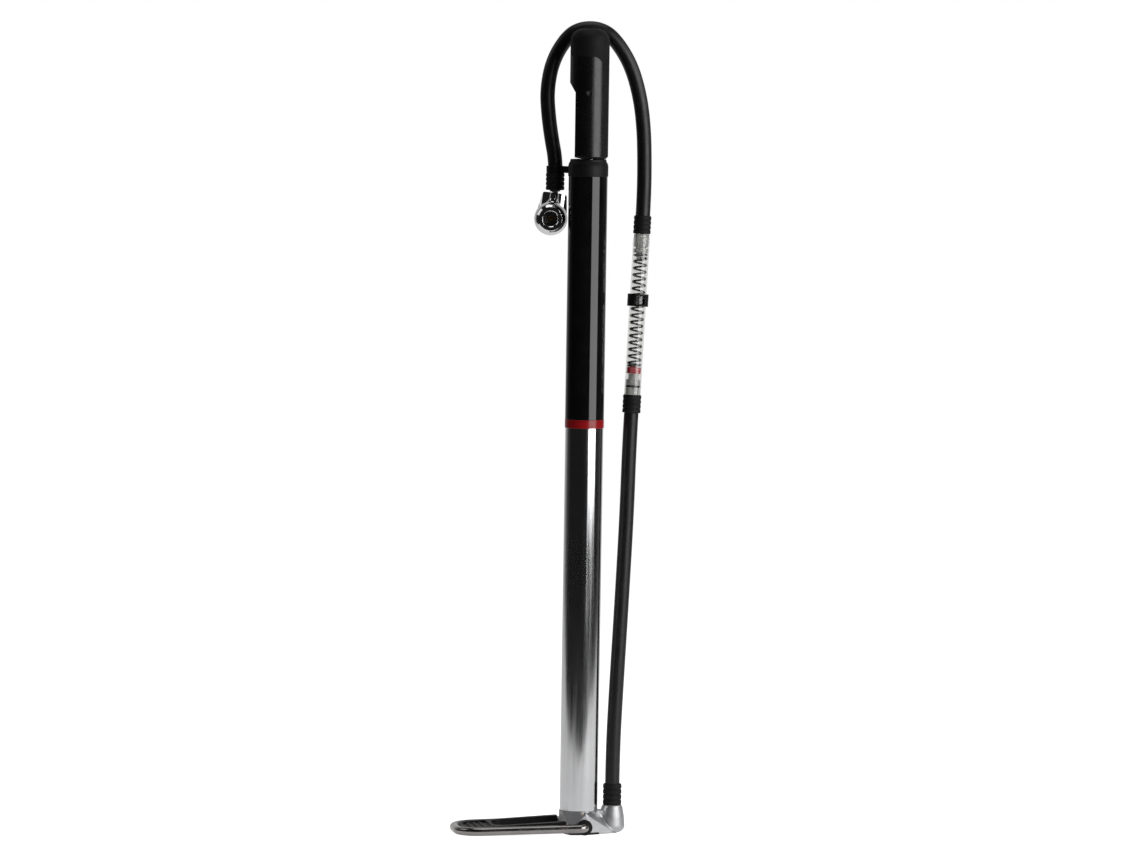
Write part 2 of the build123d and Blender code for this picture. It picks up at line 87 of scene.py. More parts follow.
UPPER = Matrix.Rotation(math.radians(TURN), 4, "Z")
GAUGE_AXIS = (GAUGE_HEAD - GAUGE_FOOT).normalized()
GAUGE = UPPER @ Matrix.Translation(GAUGE_FOOT) @ GAUGE_AXIS.to_track_quat("Z", "Y").to_matrix().to_4x4()
HEAD = UPPER @ Matrix.Translation(CHUCK) @ Matrix.Rotation(math.radians(CHUCK_LEAN), 4, "Y")
FOOT_SLOPE = math.asin((FOOT_Z - FOOT_ROD_R) / (FOOT_X - TOE_X))
FOOT = Matrix.Translation((FOOT_X, 0, FOOT_Z)) @ Matrix.Rotation(-FOOT_SLOPE, 4, "Y")
MOUTH_UP = Matrix.Rotation(math.radians(90), 4, "X")
UPRIGHT = Matrix.Identity(4)


# ---------------------------------------------------------------- materials


class Look:
    """A material's node tree, with short calls for the nodes that the looks share.

    Noise scales are per metre, and relief depths are in metres.
    """

    def __init__(self, name, colour, roughness, metallic=0.0, specular=0.5, **sockets):
        self.material = bpy.data.materials.new(name)
        self.material.use_nodes = True
        self.tree = self.material.node_tree
        self.shader = self.tree.nodes["Principled BSDF"]
        self.shader.inputs["Base Color"].default_value = (*colour, 1.0)
        self.shader.inputs["Roughness"].default_value = roughness
        self.shader.inputs["Metallic"].default_value = metallic
        self.shader.inputs["Specular IOR Level"].default_value = specular
        for socket, value in sockets.items():
            self.shader.inputs[socket.replace("_", " ").title()].default_value = value

    def link(self, output, node, socket):
        self.tree.links.new(output, node.inputs[socket])

    def coordinates(self, stretch):
        """The piece's own coordinates in metres, scaled along each axis."""
        place = self.tree.nodes.new("ShaderNodeTexCoord")
        mapping = self.tree.nodes.new("ShaderNodeMapping")
        mapping.inputs["Scale"].default_value = stretch
        self.link(place.outputs["Object"], mapping, "Vector")
        return mapping.outputs["Vector"]

    def noise(self, scale, detail=3.0, stretch=(1, 1, 1), distortion=0.0):
        texture = self.tree.nodes.new("ShaderNodeTexNoise")
        texture.inputs["Scale"].default_value = scale
        texture.inputs["Detail"].default_value = detail
        texture.inputs["Distortion"].default_value = distortion
        self.link(self.coordinates(stretch), texture, "Vector")
        return texture.outputs["Fac"]

    def cells(self, scale, stretch=(1, 1, 1)):
        texture = self.tree.nodes.new("ShaderNodeTexVoronoi")
        texture.inputs["Scale"].default_value = scale
        self.link(self.coordinates(stretch), texture, "Vector")
        return texture.outputs["Distance"]

    def ramp(self, value, low, high, start=0.3, end=0.7):
        """Colours or greys between two ends of a value."""
        ramp = self.tree.nodes.new("ShaderNodeValToRGB")
        stops = ramp.color_ramp.elements
        stops[0].position = start
        stops[1].position = end
        stops[0].color = (*low, 1.0) if isinstance(low, tuple) else (low, low, low, 1.0)
        stops[1].color = (*high, 1.0) if isinstance(high, tuple) else (high, high, high, 1.0)
        self.link(value, ramp, "Fac")
        return ramp.outputs["Color"]

    def colour(self, value, low, high, start=0.3, end=0.7):
        self.link(self.ramp(value, low, high, start, end), self.shader, "Base Color")
        return self

    def gloss(self, value, low, high, start=0.3, end=0.7):
        self.link(self.ramp(value, low, high, start, end), self.shader, "Roughness")
        return self

    def bump(self, value, distance, strength=1.0):
        """Relief of a given depth in metres, added over any relief that is there already."""
        bump = self.tree.nodes.new("ShaderNodeBump")
        bump.inputs["Strength"].default_value = strength
        bump.inputs["Distance"].default_value = distance
        self.link(value, bump, "Height")
        existing = self.shader.inputs["Normal"].links
        if existing:
            self.link(existing[0].from_socket, bump, "Normal")
        self.link(bump.outputs["Normal"], self.shader, "Normal")
        return self


def polished_aluminium():
    look = Look("polished_aluminium", (0.66, 0.66, 0.67), 0.13, 1.0)
    drawn = look.noise(1.0, 4.0, (900, 900, 14))
    smears = look.noise(40.0, 4.0)
    look.colour(smears, (0.62, 0.625, 0.635), (0.69, 0.69, 0.695))
    look.gloss(drawn, 0.09, 0.17)
    look.bump(drawn, 0.0000025)
    scuffs = look.noise(1.0, 2.0, (260, 260, 2600), 1.5)
    return look.bump(look.ramp(scuffs, 0.0, 1.0, 0.70, 0.74), 0.000004, 0.5).material


def black_lacquer():
    look = Look("black_lacquer", (0.004, 0.004, 0.0045), 0.07)
    flow = look.noise(90.0, 2.0)
    look.gloss(look.noise(160.0, 4.0), 0.05, 0.10)
    look.colour(flow, (0.0035, 0.0035, 0.004), (0.006, 0.006, 0.0065))
    return look.bump(flow, 0.000006, 0.6).material


def gloss_plastic():
    look = Look("handle_gloss", (0.0045, 0.0045, 0.005), 0.27)
    look.gloss(look.noise(220.0, 4.0), 0.24, 0.31)
    look.colour(look.noise(60.0, 3.0), (0.0035, 0.0035, 0.004), (0.0055, 0.0055, 0.006))
    return look.bump(look.noise(900.0, 3.0), 0.000006, 0.5).material


def soft_grip():
    look = Look("soft_grip", (0.007, 0.007, 0.0075), 0.62, specular=0.16)
    grain = look.cells(1500.0)
    look.gloss(look.noise(150.0, 4.0), 0.56, 0.7)
    look.colour(look.noise(45.0, 4.0), (0.006, 0.006, 0.0065), (0.009, 0.009, 0.0095))
    return look.bump(grain, 0.00003, 0.6).material


def matte_plastic(name="matte_plastic", tone=0.006):
    look = Look(name, (tone, tone, tone * 1.03), 0.5, specular=0.2)
    look.gloss(look.noise(300.0, 4.0), 0.42, 0.56)
    look.colour(look.noise(70.0, 4.0), (tone * 0.8,) * 3, (tone * 1.3,) * 3)
    return look.bump(look.noise(1800.0, 3.0), 0.000015, 0.7).material


def hose_rubber():
    look = Look("hose_rubber", (0.007, 0.007, 0.0073), 0.38, specular=0.42)
    streaks = look.noise(1.0, 4.0, (420, 420, 40))
    look.gloss(look.noise(120.0, 4.0), 0.34, 0.44)
    look.colour(streaks, (0.0055, 0.0055, 0.0058), (0.0090, 0.0090, 0.0094))
    look.bump(streaks, 0.000012, 0.5)
    return look.bump(look.noise(2200.0, 2.0), 0.000006, 0.5).material


def sleeve_rubber():
    look = Look("sleeve_rubber", (0.008, 0.008, 0.0084), 0.62, specular=0.2)
    look.gloss(look.noise(200.0, 4.0), 0.52, 0.68)
    look.colour(look.noise(90.0, 4.0), (0.006, 0.006, 0.0063), (0.011, 0.011, 0.0114))
    return look.bump(look.noise(2600.0, 3.0), 0.00002, 0.7).material


def cast_aluminium():
    look = Look("cast_aluminium", (0.52, 0.52, 0.53), 0.48, 1.0)
    grain = look.noise(1600.0, 3.0)
    mottle = look.noise(140.0, 4.0)
    look.colour(mottle, (0.48, 0.485, 0.50), (0.57, 0.57, 0.58))
    look.gloss(mottle, 0.42, 0.54)
    look.bump(grain, 0.000022, 0.8)
    return look.bump(look.noise(380.0, 3.0), 0.00005, 0.5).material


def dark_chrome():
    look = Look("dark_chrome", (0.33, 0.31, 0.305), 0.2, 1.0)
    tint = look.noise(70.0, 4.0)
    look.colour(tint, (0.29, 0.275, 0.27), (0.37, 0.35, 0.345))
    look.gloss(look.noise(260.0, 5.0), 0.14, 0.24)
    return look.bump(look.noise(500.0, 3.0), 0.000008, 0.5).material


def bright_chrome():
    look = Look("bright_chrome", (0.80, 0.805, 0.81), 0.05, 1.0)
    look.gloss(look.noise(300.0, 5.0), 0.035, 0.075)
    look.colour(look.noise(110.0, 3.0), (0.77, 0.775, 0.785), (0.82, 0.82, 0.825))
    return look.bump(look.noise(160.0, 2.0), 0.000008, 0.4).material


def steel(name="steel", tone=0.5, roughness=0.25):
    look = Look(name, (tone, tone, tone), roughness, 1.0)
    look.gloss(look.noise(400.0, 4.0), roughness * 0.8, roughness * 1.25)
    look.colour(look.noise(150.0, 3.0), (tone * 0.9,) * 3, (tone * 1.08,) * 3)
    return look.bump(look.noise(1.0, 3.0, (300, 300, 3000)), 0.000004, 0.5).material


def brass():
    look = Look("brass", (0.70, 0.48, 0.22), 0.28, 1.0)
    look.gloss(look.noise(500.0, 4.0), 0.22, 0.36)
    look.colour(look.noise(200.0, 4.0), (0.58, 0.37, 0.16), (0.78, 0.56, 0.28))
    return look.bump(look.noise(1.0, 3.0, (300, 300, 4000)), 0.000006, 0.5).material


def red_lacquer():
    look = Look("red_lacquer", (0.30, 0.006, 0.008), 0.22)
    look.gloss(look.noise(260.0, 4.0), 0.18, 0.27)
    look.colour(look.noise(120.0, 3.0), (0.27, 0.005, 0.007), (0.34, 0.008, 0.010))
    return look.bump(look.noise(700.0, 2.0), 0.000005, 0.5).material


def red_plastic():
    look = Look("red_plastic", (0.42, 0.006, 0.018), 0.35)
    look.gloss(look.noise(400.0, 3.0), 0.3, 0.42)
    look.colour(look.noise(200.0, 3.0), (0.38, 0.005, 0.015), (0.48, 0.008, 0.022))
    return look.bump(look.noise(1500.0, 2.0), 0.000006, 0.5).material


def nylon():
    look = Look("nylon", (0.66, 0.65, 0.61), 0.5)
    look.gloss(look.noise(300.0, 3.0), 0.45, 0.58)
    look.colour(look.noise(120.0, 3.0), (0.62, 0.61, 0.57), (0.70, 0.69, 0.66))
    return look.bump(look.noise(1600.0, 2.0), 0.00001, 0.5).material


def clear_plastic():
    look = Look("clear_plastic", (0.79, 0.79, 0.78), 0.05, transmission_weight=1.0)
    look.shader.inputs["IOR"].default_value = 1.46
    look.gloss(look.noise(300.0, 4.0), 0.02, 0.07)
    return look.bump(look.noise(1.0, 3.0, (260, 260, 60)), 0.000006, 0.5).material


def frosted_plastic():
    look = Look("frosted_plastic", (0.42, 0.42, 0.40), 0.3, transmission_weight=0.15)
    look.shader.inputs["IOR"].default_value = 1.46
    look.gloss(look.noise(400.0, 4.0), 0.22, 0.38)
    look.colour(look.noise(90.0, 3.0), (0.36, 0.36, 0.34), (0.50, 0.50, 0.48))
    return look.bump(look.noise(900.0, 3.0), 0.00001, 0.5).material


ALUMINIUM = polished_aluminium()
LACQUER = black_lacquer()
GLOSS = gloss_plastic()
GRIP = soft_grip()
MATTE = matte_plastic()
PAD = matte_plastic("tread_plastic", 0.0025)
HOSE = hose_rubber()
RIBBED = sleeve_rubber()
GLAND = matte_plastic("gland_plastic", 0.005)
CAST = cast_aluminium()
DARK_CHROME = dark_chrome()
CHROME = bright_chrome()
STEEL = steel()
SPRING_STEEL = steel("spring_steel", 0.05, 0.4)
BRASS = brass()
RED = red_lacquer()
RED_PLASTIC = red_plastic()
NYLON = nylon()
CLEAR = clear_plastic()
FROSTED = frosted_plastic()


# ---------------------------------------------------------------- mesh tools


def rounded(points, steps=5):
    """A closed flat outline with rounded corners, from (x, y) or (x, y, corner radius)."""
    outline = []
    for i, point in enumerate(points):
        corner = Vector(point[:2])
        if len(point) < 3:
            outline.append(corner)
            continue
        before = Vector(points[i - 1][:2]) - corner
        after = Vector(points[(i + 1) % len(points)][:2]) - corner
        half = before.angle(after) / 2
        reach = min(point[2] / math.tan(half), 0.49 * before.length, 0.49 * after.length)
        radius = reach * math.tan(half)
        middle = (before.normalized() + after.normalized()).normalized()
        centre = corner + middle * radius / math.sin(half)
        start = corner + before.normalized() * reach - centre
        end = corner + after.normalized() * reach - centre
        turn = math.atan2(start.x * end.y - start.y * end.x, start.dot(end))
        for step in range(steps + 1):
            angle = turn * step / steps
            across = start.x * math.cos(angle) - start.y * math.sin(angle)
            along = start.x * math.sin(angle) + start.y * math.cos(angle)
            outline.append(centre + Vector((across, along)))
    return outline


def skin(bm, rings, closed_along=False):
    """Faces between neighbouring rings of vertices; a ring of one vertex is a pole."""
    pairs = list(zip(rings, rings[1:]))
    if closed_along:
        pairs.append((rings[-1], rings[0]))
    for low, high in pairs:
        count = max(len(low), len(high))
        for i in range(count):
            j = (i + 1) % count
            corners = [low[i % len(low)], low[j % len(low)], high[j % len(high)], high[i % len(high)]]
            unique = list(dict.fromkeys(corners))
            if len(unique) > 2:
                bm.faces.new(unique)


def lathe(points, segments=96, steps=5):
    """A solid of revolution about Z from its half outline of (radius, height, corner radius)."""
    bm = bmesh.new()
    rings = []
    for radius, height in rounded(points, steps):
        if radius < 1e-6:
            rings.append([bm.verts.new((0, 0, height))])
            continue
        ring = []
        for i in range(segments):
            angle = math.tau * i / segments
            ring.append(bm.verts.new((radius * math.cos(angle), radius * math.sin(angle), height)))
        rings.append(ring)
    skin(bm, rings, closed_along=True)
    bmesh.ops.remove_doubles(bm, verts=bm.verts, dist=1e-5)
    bmesh.ops.recalc_face_normals(bm, faces=bm.faces)
    return bm


def pipe(path, radius, sides=20):
    """A round bar along points, with flat closed ends."""
    bm = bmesh.new()
    points = [Vector(point) for point in path]
    across = None
    rings = []
    for i, point in enumerate(points):
        ahead = (points[min(i + 1, len(points) - 1)] - points[max(i - 1, 0)]).normalized()
        if across is None:
            across = ahead.orthogonal()
        across = (across - ahead * across.dot(ahead)).normalized()
        other = ahead.cross(across)
        ring = []
        for k in range(sides):
            angle = math.tau * k / sides
            offset = (across * math.cos(angle) + other * math.sin(angle)) * radius
            ring.append(bm.verts.new(point + offset))
        rings.append(ring)
    skin(bm, rings)
    bm.faces.new(rings[0])
    bm.faces.new(rings[-1])
    bmesh.ops.recalc_face_normals(bm, faces=bm.faces)
    return bm


def prism(outline, low, high):
    """A flat outline raised between two heights."""
    bm = bmesh.new()
    bottom = [bm.verts.new((x, y, low)) for x, y in outline]
    top = [bm.verts.new((x, y, high)) for x, y in outline]
    skin(bm, [bottom, top])
    bm.faces.new(bottom)
    bm.faces.new(top)
    bmesh.ops.recalc_face_normals(bm, faces=bm.faces)
    return bm


def as_mesh(bm):
    """A finished shape's mesh data."""
    mesh = bpy.data.meshes.new("part")
    bm.to_mesh(mesh)
    bm.free()
    return mesh


def joined(parts):
    """Several shapes as one."""
    whole = bmesh.new()
    for part in parts:
        mesh = as_mesh(part)
        whole.from_mesh(mesh)
        bpy.data.meshes.remove(mesh)
    return whole


def carved(solid, cutter):
    """A shape with another one cut out of it."""
    objects = []
    for part in (solid, cutter):
        objects.append(bpy.data.objects.new("part", as_mesh(part)))
        scene.collection.objects.link(objects[-1])
    cut = objects[0].modifiers.new("Cut", "BOOLEAN")
    cut.operation = "DIFFERENCE"
    cut.solver = "EXACT"
    cut.object = objects[1]
    graph = bpy.context.evaluated_depsgraph_get()
    mesh = bpy.data.meshes.new_from_object(objects[0].evaluated_get(graph))
    for obj in objects:
        bpy.data.objects.remove(obj)
    result = bmesh.new()
    result.from_mesh(mesh)
    bpy.data.meshes.remove(mesh)
    return result


def even_normals(obj):
    """Shades flat stretches flat and lets only the rounded edges turn."""
    modifier = obj.modifiers.new("Even normals", "WEIGHTED_NORMAL")
    modifier.weight = 80
    modifier.keep_sharp = True


def welded(obj):
    """Joins the CAD mesh's vertices, which are split along its sharp edges."""
    weld = obj.modifiers.new("Weld", "WELD")
    weld.merge_threshold = 0.002 * MM


def softened(obj, width):
    """Rounds an object's sharp edges by a width in millimetres."""
    welded(obj)
    bevel = obj.modifiers.new("Bevel", "BEVEL")
    bevel.width = width * MM
    bevel.segments = 3
    bevel.limit_method = "ANGLE"
    bevel.angle_limit = math.radians(35.0)
    bevel.harden_normals = False
    even_normals(obj)


def finished(name, mesh, body, material, replaced):
    """A mesh in the row frame as a piece of the object."""
    mesh.name = name
    obj = bpy.data.objects.new(name, mesh)
    scene.collection.objects.link(obj)
    mesh.materials.clear()
    mesh.materials.append(material)
    mesh.polygons.foreach_set("use_smooth", [True] * len(mesh.polygons))
    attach(obj, body)
    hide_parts(replaced)
    return obj


def piece(name, bm, place, body, material, replaced, bevel=0.0):
    """A shape made in millimetres, placed in the row frame as a piece of the object."""
    mesh = as_mesh(bm)
    mesh.transform(IN_METRES @ place)
    obj = finished(name, mesh, body, material, replaced)
    if bevel:
        softened(obj, bevel)
    else:
        even_normals(obj)
    return obj


def cast_copy(node, voxel, smoothing):
    """The CAD node's mesh rebuilt on an even grid with its edges melted, in the row frame."""
    source = bpy.data.objects.new("source", cad[node].data.copy())
    scene.collection.objects.link(source)
    welded(source)
    remesh = source.modifiers.new("Remesh", "REMESH")
    remesh.mode = "VOXEL"
    remesh.voxel_size = voxel * MM
    smooth = source.modifiers.new("Smooth", "SMOOTH")
    smooth.factor = 0.5
    smooth.iterations = smoothing
    graph = bpy.context.evaluated_depsgraph_get()
    mesh = bpy.data.meshes.new_from_object(source.evaluated_get(graph))
    bpy.data.objects.remove(source)
    return mesh


# ---------------------------------------------------------------- camera and hoses

AIM = Vector((0, 0, 0.2748))
AIM_SIDE = 0.0107
DISTANCE = 4.6
AZIMUTH = math.radians(-9.5)
ELEVATION = math.radians(3.55)
ROLL = math.radians(0.87)
VIEW_WIDTH = 0.7687


def make_camera():
    data = bpy.data.cameras.new("camera")
    camera = bpy.data.objects.new("camera", data)
    scene.collection.objects.link(camera)
    scene.camera = camera
    data.sensor_width = 36.0
    data.lens = data.sensor_width * DISTANCE / VIEW_WIDTH
    back = Vector((
        math.sin(AZIMUTH) * math.cos(ELEVATION),
        -math.cos(AZIMUTH) * math.cos(ELEVATION),
        math.sin(ELEVATION)))
    side = Vector((math.cos(AZIMUTH), math.sin(AZIMUTH), 0))
    aim = AIM - side * AIM_SIDE
    level = back.to_track_quat("Z", "Y").to_matrix().to_4x4()
    camera.matrix_world = Matrix.Translation(aim + back * DISTANCE) @ level @ Matrix.Rotation(ROLL, 4, "Z")
    data.clip_start = 0.1
    data.clip_end = 100.0


make_camera()

BASE_U = BOSS_X * math.cos(math.radians(TURN))
BASE_V = -BOSS_X * math.sin(math.radians(TURN))
GAUGE_IN = GAUGE_FOOT - GAUGE_AXIS * LOWER_SLEEVE
GAUGE_OUT = GAUGE_FOOT + GAUGE_AXIS * (GAUGE_LENGTH + UPPER_SLEEVE)

# The same route points as the CAD's hoses, along, behind and up the pump
LOWER_ROUTE = [
    (BASE_U, BASE_V, 33.0), (BASE_U, BASE_V, 55.0), (24.0, 5.0, 92.0), (27.0, 7.3, 155.0),
    (29.6, 9.4, 217.0), GAUGE_IN - GAUGE_AXIS * 24.0, GAUGE_IN]
UPPER_ROUTE = [
    GAUGE_OUT, GAUGE_OUT + GAUGE_AXIS * 14.0, (37.9, 18.2, 455.0),
    (37.1, 19.2, 477.0), (34.2, 19.4, 499.0), (27.5, 19.4, 521.0), (15.7, 19.4, 538.6),
    (5.9, 19.4, 544.3), (-5.9, 19.4, 544.3), (-15.4, 19.4, 538.9), (-25.3, 19.4, 522.5),
    (-28.9, 19.4, 502.5), (-27.6, 19.2, 485.0), (-25.2, 18.5, 469.0), (-22.4, 16.6, 455.2),
    (-22.4, 16.6, 446.4)]


def hose(name, route, node):
    """A rubber hose as one smooth NURBS curve with the route's points as its control points."""
    curve = bpy.data.curves.new(name, "CURVE")
    curve.dimensions = "3D"
    curve.resolution_u = 24
    curve.bevel_depth = HOSE_R * MM
    curve.bevel_resolution = 10
    curve.use_fill_caps = True
    spline = curve.splines.new("NURBS")
    spline.points.add(len(route) - 1)
    for point, place in zip(spline.points, route):
        point.co = (*(IN_METRES @ UPPER @ Vector(place)), 1.0)
    spline.order_u = 3
    spline.use_endpoint_u = True
    spline.use_smooth = True
    obj = bpy.data.objects.new(name, curve)
    scene.collection.objects.link(obj)
    curve.materials.append(HOSE)
    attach(obj, "pump_body")
    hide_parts(node)
    return obj


lower = hose("rubber_hose_lower", LOWER_ROUTE, "lower_hose")
upper = hose("rubber_hose_upper", UPPER_ROUTE, "upper_hose")


# ---------------------------------------------------------------- barrel

TUBE_R = 12.85
TUBE_BORE = 11.6
TUBE_BOTTOM = 15.2
TUBE_TOP = 452.2
TUBE_STEP = 0.1
BAND_R = 13.27
BAND_BOTTOM = 274.9
SLEEVE_R = 13.15
SLEEVE_BORE = TUBE_R - 0.05
SLEEVE_BOTTOM = 280.6
SLEEVE_TOP = 444.68
GLAND_BOTTOM = 436.0
GLAND_TOP = 456.3
GLAND_BORE = 7.4
WIPER_R = 8.2

piece("barrel_aluminium", lathe([
    (TUBE_BORE, TUBE_BOTTOM), (TUBE_R, TUBE_BOTTOM, 0.25), (TUBE_R, BAND_BOTTOM - 0.3),
    (TUBE_R - TUBE_STEP, BAND_BOTTOM + 0.1), (TUBE_R - TUBE_STEP, TUBE_TOP),
    (TUBE_BORE, TUBE_TOP)], 160),
    UPRIGHT, "pump_body", ALUMINIUM, "barrel_tube")
piece("barrel_black_sleeve", lathe([
    (SLEEVE_BORE, SLEEVE_BOTTOM), (SLEEVE_R, SLEEVE_BOTTOM, 0.15), (SLEEVE_R, SLEEVE_TOP),
    (SLEEVE_BORE, SLEEVE_TOP)], 160),
    UPRIGHT, "pump_body", LACQUER, "barrel_sleeve")
piece("barrel_red_band", lathe([
    (SLEEVE_BORE, BAND_BOTTOM), (BAND_R, BAND_BOTTOM, 0.28), (BAND_R, SLEEVE_BOTTOM, 0.28),
    (SLEEVE_BORE, SLEEVE_BOTTOM)], 160),
    UPRIGHT, "pump_body", RED, "red_band")
piece("barrel_gland", lathe([
    (GLAND_BORE, GLAND_BOTTOM), (TUBE_BORE - 0.05, GLAND_BOTTOM), (TUBE_BORE - 0.05, TUBE_TOP),
    (13.3, TUBE_TOP, 0.2), (13.3, TUBE_TOP + 0.9, 0.3), (12.4, TUBE_TOP + 2.4, 0.5),
    (12.1, GLAND_TOP, 0.5), (WIPER_R, GLAND_TOP), (WIPER_R, GLAND_TOP - 4.8),
    (GLAND_BORE, GLAND_TOP - 4.8)], 128),
    UPRIGHT, "pump_body", GLAND, "barrel_cap")


# ---------------------------------------------------------------- hose sleeves


BASE_SLEEVE = 14.4
CHUCK_SLEEVE = 11.8
RIBS = 4


def ribbed(length, end_r, rib_r):
    """A hose sleeve with rounded ribs, bored for its barb, standing on the origin."""
    outline = [(BARB_R, 0)]
    pitch = length / RIBS
    for i in range(RIBS):
        foot = i * pitch
        outline += [
            (end_r, foot + 0.06 * pitch, 0.15), (rib_r, foot + 0.18 * pitch, 0.4),
            (rib_r, foot + 0.82 * pitch, 0.4), (end_r, foot + 0.94 * pitch, 0.15)]
    outline += [(end_r, length, 0.4), (BARB_R, length)]
    return lathe(outline, 72, 3)


def hose_sleeve(name, shape, place, node):
    """A ribbed rubber sleeve over a hose's end."""
    return piece(name, shape, place, "pump_body", RIBBED, node)


hose_sleeve("sleeve_base", ribbed(BASE_SLEEVE, 5.85, 6.3), Matrix.Translation((BOSS_X, 0, BOSS_TOP)),
            "base_hose_sleeve")
sleeve_low = hose_sleeve("sleeve_gauge_lower", ribbed(LOWER_SLEEVE, 5.85, 6.2),
                         GAUGE @ Matrix.Translation((0, 0, -LOWER_SLEEVE)), "gauge_lower_sleeve")
sleeve_high = hose_sleeve("sleeve_gauge_upper", ribbed(UPPER_SLEEVE, 5.55, 5.9),
                          GAUGE @ Matrix.Translation((0, 0, GAUGE_LENGTH)), "gauge_upper_sleeve")
sleeve_head = hose_sleeve("sleeve_chuck", ribbed(CHUCK_SLEEVE, 5.9, 6.3),
                          UPPER @ Matrix.Translation(SLEEVE_AT), "head_hose_sleeve")


# ---------------------------------------------------------------- gauge

GAUGE_R = 5.6
GAUGE_BORE = 4.95
GAUGE_NECK_R = 5.25
GAUGE_NECK = 106.6
SPRING_FROM = 18.8
SPRING_TO = 96.4

tube = piece("gauge_clear_tube", lathe([
    (GAUGE_BORE, 0), (GAUGE_R, 0, 0.3), (GAUGE_R, GAUGE_NECK - 0.6, 0.4),
    (GAUGE_NECK_R, GAUGE_NECK), (GAUGE_NECK_R, GAUGE_LENGTH), (GAUGE_BORE, GAUGE_LENGTH)], 96),
    GAUGE, "pump_body", CLEAR, "gauge_tube")


def coil(radius, wire, bottom, top, turns, dead):
    """A compression spring with a number of dead turns closed up at each end."""
    path = []
    steps = 28
    for i in range(turns * steps + 1):
        turn = i / steps
        share = (turn - dead) / (turns - 2 * dead)
        closed = 2 * wire * min(turn, dead) + 2 * wire * max(0.0, turn - (turns - dead))
        open_run = top - bottom - 2 * wire - 4 * wire * dead
        height = bottom + wire + closed + open_run * min(1.0, max(0.0, share))
        path.append((radius * math.cos(math.tau * turn), radius * math.sin(math.tau * turn), height))
    return pipe(path, wire, 10)


spring = piece("gauge_coil_spring", coil(4.2, 0.7, SPRING_FROM, SPRING_TO, 18, 1),
               GAUGE, "pump_body", SPRING_STEEL, "gauge_spring")
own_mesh(spring)


# ---------------------------------------------------------------- check valve

CHECK_FROM = 13.79
CHECK_TO = 16.3

check_spring = piece("check_coil_spring", coil(1.55, 0.2, CHECK_FROM, CHECK_TO, 3, 0.5),
                     Matrix.Translation((BOSS_X, 0, 0)), "pump_body", SPRING_STEEL,
                     "check_spring")
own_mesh(check_spring)


# ---------------------------------------------------------------- chuck

FACE = HEAD @ MOUTH_UP
CHUCK_R = 11.3
CHUCK_FRONT = 14.0
CAP_BACK = 5.4
THREAD_R = 9.4
THREAD_FRONT = 8.5
SEAL_R = 8.0
SEAL_FRONT = 12.1
MOUTH_R = 4.5
VALVE_R = 4.1

chuck_ring = piece("chuck_front_ring", lathe([
    (THREAD_R, CAP_BACK), (CHUCK_R - 0.2, CAP_BACK, 0.3), (CHUCK_R, CAP_BACK + 0.8, 1.5),
    (10.9, 9.0, 7.0), (9.9, 12.0, 4.0), (8.0, CHUCK_FRONT - 0.1, 0.9), (7.2, CHUCK_FRONT, 0.3),
    (5.6, CHUCK_FRONT - 0.05, 0.3), (MOUTH_R, 12.9, 0.3), (MOUTH_R + 0.4, SEAL_FRONT),
    (SEAL_R, SEAL_FRONT), (SEAL_R, THREAD_FRONT), (THREAD_R, THREAD_FRONT)], 144, 8),
    FACE, "pump_body", CHROME, "head_cap")
chuck_seal = piece("chuck_seal", lathe([
    (VALVE_R, 5.9, 0.3), (SEAL_R, 5.9, 0.2), (SEAL_R, SEAL_FRONT - 0.05),
    (MOUTH_R + 0.2, SEAL_FRONT - 0.05), (VALVE_R, 11.4, 0.4)], 96),
    FACE, "pump_body", RIBBED, "valve_seal")


# ---------------------------------------------------------------- base and foot

REACH = (FOOT_X - TOE_X) / math.cos(FOOT_SLOPE)
FOOT_Y = 25.0
FOOT_END = 14.6
TOE_Y = 22.8
TOE_CORNER = 16.0
PAD_FRONT = 82.4
PAD_BACK = 12.5
PAD_RISE = 4.6
PAD_FALL = 2.4
SLOT_Y = 15.5
SLOT_END = 60.0
DISH_BACK = 62.5
DISH_FRONT = 79.2
DISH_Y = 16.6
RIB_PLACES = (-75.0, -70.9, -66.8)
RIB_Y = 13.5

finished("cast_base", cast_copy("base_casting", 0.35, 6), "pump_body", CAST,
         "base_casting")


def mirrored(half):
    """A closed outline from its half with y below zero, in (x, y) or (x, y, corner radius)."""
    return half + [(x, -y, *corner) for x, y, *corner in reversed(half)]


def make_tread():
    """The moulded pad: a U in plan with a ribbed dish at its toe, its top falling towards the toe."""
    plan = rounded(mirrored([
        (-SLOT_END, -SLOT_Y, 9.0), (-PAD_BACK, -SLOT_Y, 1.0), (-PAD_BACK, -22.0, 1.0),
        (-PAD_FRONT, -20.2, 13.4)]), 12)
    dish = rounded(mirrored([(-DISH_BACK, -DISH_Y, 3.0), (-DISH_FRONT, -DISH_Y, 9.8)]), 12)
    parts = [carved(prism(plan, -2.0, PAD_RISE), prism(dish, 3.2, 8.0))]
    for x in RIB_PLACES:
        rib = rounded(mirrored([(x - 0.9, -RIB_Y, 0.8), (x + 0.9, -RIB_Y, 0.8)]))
        parts.append(prism(rib, 2.0, 4.0))
    tread = joined(parts)
    for vert in tread.verts:
        if vert.co.z > 0:
            vert.co.z += PAD_FALL * (vert.co.x + PAD_BACK) / (REACH - PAD_BACK)
    return tread


loop = rounded(mirrored([(0, -FOOT_END), (0, -FOOT_Y, 3.4), (-REACH, -TOE_Y, TOE_CORNER)]), 28)
piece("foot_loop", pipe([(x, y, 0) for x, y in loop], FOOT_ROD_R, 48),
      FOOT, "foot", DARK_CHROME, "foot_rod", 0.3)
piece("foot_tread", make_tread(), FOOT, "foot", PAD, "foot_pad", 0.5)


# ---------------------------------------------------------------- carried-over CAD nodes

